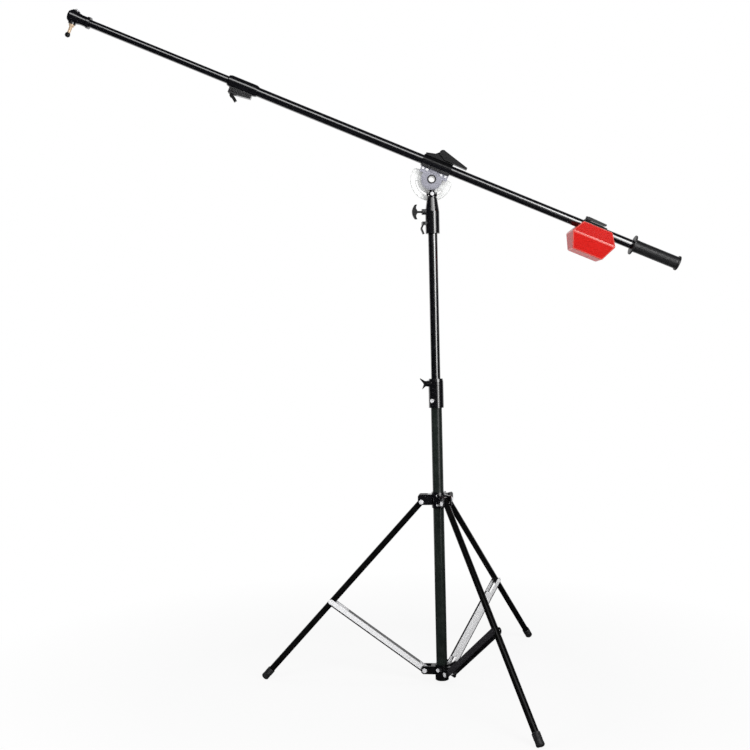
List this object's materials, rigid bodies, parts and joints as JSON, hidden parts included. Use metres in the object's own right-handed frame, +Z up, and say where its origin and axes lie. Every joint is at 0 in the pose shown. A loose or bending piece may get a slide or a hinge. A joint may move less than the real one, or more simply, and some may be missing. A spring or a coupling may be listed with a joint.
{
  "type": "overhead boom arm",
  "caption": "Telescoping boom arm with a counterweight and grip, clamped to a tilting swivel head on a folding tripod stand",
  "frame": {"origin": "on the floor, under the middle of the object's bounding box", "axes": "+Z up; the boom lies in the XZ plane's direction, its front end towards -X and its grip towards +X; +Y away from the viewer of the picture"},
  "size_m": [1.9356, 1.026, 2.1686],
  "materials": {
    "black_gloss": "gloss black enamel",
    "black_cast": "satin black",
    "silver": "bright",
    "bolt_steel": "bright",
    "brass": "polished",
    "rubber": "matte",
    "plastic": "satin",
    "red": "gloss red paint",
    "dial": "satin",
    "plate": "pale, clear lacquer"
  },
  "bodies": {
    "stand": {"base_tube": "black_gloss", "lower_hub": "black_cast", "lower_hub_screw": "bolt_steel", "mid_collar": "black_cast", "mid_collar_screw": "bolt_steel", "brace_bolt_left": "bolt_steel", "brace_bolt_front": "bolt_steel", "brace_bolt_rear": "bolt_steel"},
    "leg_hub": {"upper_hub": "black_cast", "leg_bolt_left": "bolt_steel", "leg_bolt_front": "bolt_steel", "leg_bolt_rear": "bolt_steel"},
    "leg_left": {"leg_left": "black_gloss", "leg_shoe_left": "rubber", "leg_cross_pin_left": "bolt_steel"},
    "brace_left": {"brace_left": "silver"},
    "leg_front": {"leg_front": "black_gloss", "leg_shoe_front": "rubber", "leg_cross_pin_front": "bolt_steel"},
    "brace_front": {"brace_front": "silver"},
    "leg_rear": {"leg_rear": "black_gloss", "leg_shoe_rear": "rubber", "leg_cross_pin_rear": "bolt_steel"},
    "brace_rear": {"brace_rear": "silver"},
    "mid_section": {"mid_tube": "black_gloss", "mid_tube_plug": "plastic", "top_collar": "black_cast"},
    "top_section": {"top_tube": "black_gloss", "top_tube_plug": "plastic"},
    "neck": {"swivel_neck": "black_cast", "neck_screw": "black_cast"},
    "tilt_stud": {"tilt_stud": "bolt_steel"},
    "clamp": {"clamp_saddle": "black_cast", "disc_screw_1": "bolt_steel", "disc_screw_2": "bolt_steel", "disc_screw_3": "bolt_steel", "disc_screw_4": "bolt_steel", "pivot_disc": "dial", "angle_plate": "plate", "pivot_bush": "bolt_steel", "clamp_hinge_pin": "bolt_steel"},
    "clamp_cap": {"clamp_cap": "black_cast"},
    "clamp_lever": {"clamp_lever": "black_cast"},
    "boom": {"boom_rear_tube": "black_gloss", "boom_lock": "black_cast", "grip": "rubber", "boom_end_plug": "plastic"},
    "boom_lock_lever": {"boom_lock_lever": "black_cast"},
    "boom_front": {"boom_front_tube": "black_gloss", "front_tube_plug": "plastic"},
    "head": {"head_block": "black_cast", "head_screw": "bolt_steel", "spigot": "brass", "spigot_end": "black_cast"},
    "weight": {"counterweight": "red", "weight_clamp": "black_cast"},
    "weight_lever": {"weight_lever": "black_cast"},
    "mid_knob": {"mid_collar_knob": "black_cast"},
    "top_knob": {"top_collar_knob": "black_cast"},
    "hook_lever": {"top_collar_lever": "black_cast"}
  },
  "joints": [
    {"name": "leg_hub_slide", "type": "slide", "parent": "stand", "child": "leg_hub", "axis": [0, 0, 1], "range_m": [0, 0.27]},
    {"name": "leg_left_hinge", "type": "hinge", "parent": "leg_hub", "child": "leg_left", "pos_m": [0.12129, 0.04791, 0.587], "axis": [-0.1392, -0.9903, 0], "range_deg": [0, 40.49]},
    {"name": "brace_left_hinge", "type": "hinge", "parent": "stand", "child": "brace_left", "pos_m": [0.12029, 0.04804, 0.042], "axis": [-0.1392, -0.9903, 0], "range_deg": [-52, 0]},
    {"name": "leg_front_hinge", "type": "hinge", "parent": "leg_hub", "child": "leg_front", "pos_m": [0.19499, -0.00968, 0.587], "axis": [0.9272, 0.3746, 0], "range_deg": [0, 40.49]},
    {"name": "brace_front_hinge", "type": "hinge", "parent": "stand", "child": "brace_front", "pos_m": [0.19536, -0.0106, 0.042], "axis": [0.9272, 0.3746, 0], "range_deg": [-52, 0]},
    {"name": "leg_rear_hinge", "type": "hinge", "parent": "leg_hub", "child": "leg_rear", "pos_m": [0.208, 0.08294, 0.587], "axis": [-0.788, 0.6157, 0], "range_deg": [0, 40.49]},
    {"name": "brace_rear_hinge", "type": "hinge", "parent": "stand", "child": "brace_rear", "pos_m": [0.20862, 0.08373, 0.042], "axis": [-0.788, 0.6157, 0], "range_deg": [-52, 0]},
    {"name": "mid_section_slide", "type": "slide", "parent": "stand", "child": "mid_section", "axis": [0, 0, -1], "range_m": [-0.17, 0.43]},
    {"name": "top_section_slide", "type": "slide", "parent": "mid_section", "child": "top_section", "axis": [0, 0, 1], "range_m": [0, 0.68]},
    {"name": "neck_pan", "type": "hinge", "parent": "top_section", "child": "neck", "pos_m": [0.17476, 0.04039, 1.58], "axis": [0, 0, 1], "continuous": true},
    {"name": "tilt_stud_turn", "type": "hinge", "parent": "neck", "child": "tilt_stud", "pos_m": [0.17476, 0.05039, 1.567], "axis": [0, 1, 0], "continuous": true},
    {"name": "boom_tilt", "type": "hinge", "parent": "neck", "child": "clamp", "pos_m": [0.17476, 0.04039, 1.614], "axis": [0, 1, 0], "range_deg": [-83.2, 36.8]},
    {"name": "clamp_cap_hinge", "type": "hinge", "parent": "clamp", "child": "clamp_cap", "pos_m": [0.19367, 0.06339, 1.65812], "axis": [-0.9191, 0, 0.3939], "range_deg": [0, 80]},
    {"name": "clamp_lever_hinge", "type": "hinge", "parent": "clamp_cap", "child": "clamp_lever", "pos_m": [0.21218, 0.04039, 1.6937], "axis": [0, -1, 0], "range_deg": [0, 95]},
    {"name": "boom_slide", "type": "slide", "parent": "clamp", "child": "boom", "axis": [0.9191, 0, -0.3939], "range_m": [-0.2, 0.3]},
    {"name": "boom_lock_trigger", "type": "hinge", "parent": "boom", "child": "boom_lock_lever", "pos_m": [-0.44776, 0.04039, 1.9004], "axis": [0, -1, 0], "range_deg": [0, 20]},
    {"name": "boom_front_slide", "type": "slide", "parent": "boom", "child": "boom_front", "axis": [-0.9191, 0, 0.3939], "range_m": [-0.43, 0.37]},
    {"name": "head_turn", "type": "hinge", "parent": "boom_front", "child": "head", "pos_m": [-0.90929, 0.04039, 2.13085], "axis": [0.9191, 0, -0.3939], "continuous": true},
    {"name": "weight_slide", "type": "slide", "parent": "boom", "child": "weight", "axis": [0.9191, 0, -0.3939], "range_m": [-0.15, 0.05]},
    {"name": "weight_lever_hinge", "type": "hinge", "parent": "weight", "child": "weight_lever", "pos_m": [0.67188, 0.04039, 1.47927], "axis": [0, -1, 0], "range_deg": [0, 90]},
    {"name": "mid_knob_turn", "type": "hinge", "parent": "stand", "child": "mid_knob", "pos_m": [0.14827, 0.02631, 0.966], "axis": [-0.8829, -0.4695, 0], "continuous": true},
    {"name": "top_knob_turn", "type": "hinge", "parent": "mid_section", "child": "top_knob", "pos_m": [0.13498, 0.03621, 1.511], "axis": [-0.9945, -0.1045, 0], "continuous": true},
    {"name": "hook_lever_hinge", "type": "hinge", "parent": "mid_section", "child": "hook_lever", "pos_m": [0.14542, 0.03731, 1.475], "axis": [0.1045, -0.9945, 0], "range_deg": [-70, 0]}
  ],
  "couplings": [
    {"joint": "leg_left_hinge", "follows": "leg_hub_slide", "rad_per_m": 2.6144},
    {"joint": "brace_left_hinge", "follows": "leg_hub_slide", "rad_per_m": -3.3581},
    {"joint": "leg_front_hinge", "follows": "leg_hub_slide", "rad_per_m": 2.6144},
    {"joint": "brace_front_hinge", "follows": "leg_hub_slide", "rad_per_m": -3.3581},
    {"joint": "leg_rear_hinge", "follows": "leg_hub_slide", "rad_per_m": 2.6144},
    {"joint": "brace_rear_hinge", "follows": "leg_hub_slide", "rad_per_m": -3.3581}
  ]
}
